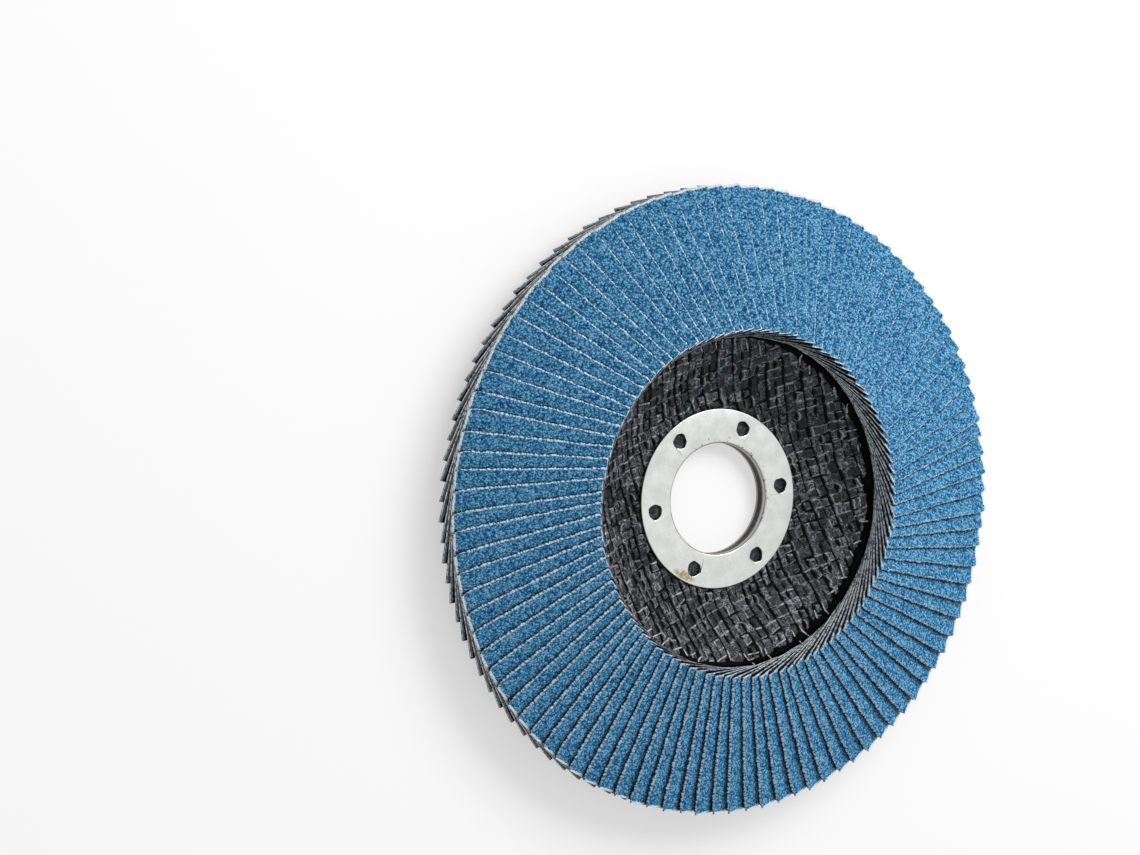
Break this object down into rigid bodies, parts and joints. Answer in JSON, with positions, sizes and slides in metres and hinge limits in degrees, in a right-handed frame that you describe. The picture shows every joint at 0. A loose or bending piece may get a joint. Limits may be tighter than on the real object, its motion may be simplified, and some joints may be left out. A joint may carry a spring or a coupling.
{
  "type": "abrasive flap disc",
  "caption": "Round depressed-centre abrasive flap disc for an angle grinder: overlapped blue cloth flaps bonded to a black glass-cloth plate with a steel-ringed arbor bore.",
  "frame": {"origin": "on the bore's axis, at the back arbor ring's face that seats on the grinder's flange", "axes": "+Z along the bore's axis, out of the working face; +X and +Y across the disc"},
  "size_m": [0.125, 0.125, 0.0158],
  "materials": {
    "plated_steel": "bright plated sheet steel, satin",
    "glass_laminate": "black resin over plain-woven glass roving",
    "black_resin": "cured black epoxy",
    "abrasive_cloth": "blue resin-bonded grit on grey cloth"
  },
  "bodies": {
    "root": {"front_arbor_ring": "plated_steel", "back_arbor_ring": "plated_steel", "front_glass_ply": "glass_laminate", "front_core_ply": "glass_laminate", "rear_core_ply": "glass_laminate", "back_glass_ply": "glass_laminate", "adhesive_bed": "black_resin", "flap_pair_01": "abrasive_cloth", "flap_pair_02": "abrasive_cloth", "flap_pair_03": "abrasive_cloth", "flap_pair_04": "abrasive_cloth", "flap_pair_05": "abrasive_cloth", "flap_pair_06": "abrasive_cloth", "flap_pair_07": "abrasive_cloth", "flap_pair_08": "abrasive_cloth", "flap_pair_09": "abrasive_cloth", "flap_pair_10": "abrasive_cloth", "flap_pair_11": "abrasive_cloth", "flap_pair_12": "abrasive_cloth", "flap_pair_13": "abrasive_cloth", "flap_pair_14": "abrasive_cloth", "flap_pair_15": "abrasive_cloth", "flap_pair_16": "abrasive_cloth", "flap_pair_17": "abrasive_cloth", "flap_pair_18": "abrasive_cloth", "flap_pair_19": "abrasive_cloth", "flap_pair_20": "abrasive_cloth", "flap_pair_21": "abrasive_cloth", "flap_pair_22": "abrasive_cloth", "flap_pair_23": "abrasive_cloth", "flap_pair_24": "abrasive_cloth", "flap_pair_25": "abrasive_cloth", "flap_pair_26": "abrasive_cloth", "flap_pair_27": "abrasive_cloth", "flap_pair_28": "abrasive_cloth", "flap_pair_29": "abrasive_cloth", "flap_pair_30": "abrasive_cloth", "flap_pair_31": "abrasive_cloth", "flap_pair_32": "abrasive_cloth", "flap_pair_33": "abrasive_cloth", "flap_pair_34": "abrasive_cloth", "flap_pair_35": "abrasive_cloth", "flap_pair_36": "abrasive_cloth", "flap_pair_37": "abrasive_cloth", "flap_pair_38": "abrasive_cloth", "flap_pair_39": "abrasive_cloth", "flap_pair_40": "abrasive_cloth", "flap_pair_41": "abrasive_cloth", "flap_pair_42": "abrasive_cloth", "flap_pair_43": "abrasive_cloth", "flap_pair_44": "abrasive_cloth", "flap_pair_45": "abrasive_cloth", "flap_pair_46": "abrasive_cloth", "flap_pair_47": "abrasive_cloth", "flap_pair_48": "abrasive_cloth", "flap_pair_49": "abrasive_cloth", "flap_pair_50": "abrasive_cloth"}
  },
  "joints": []
}
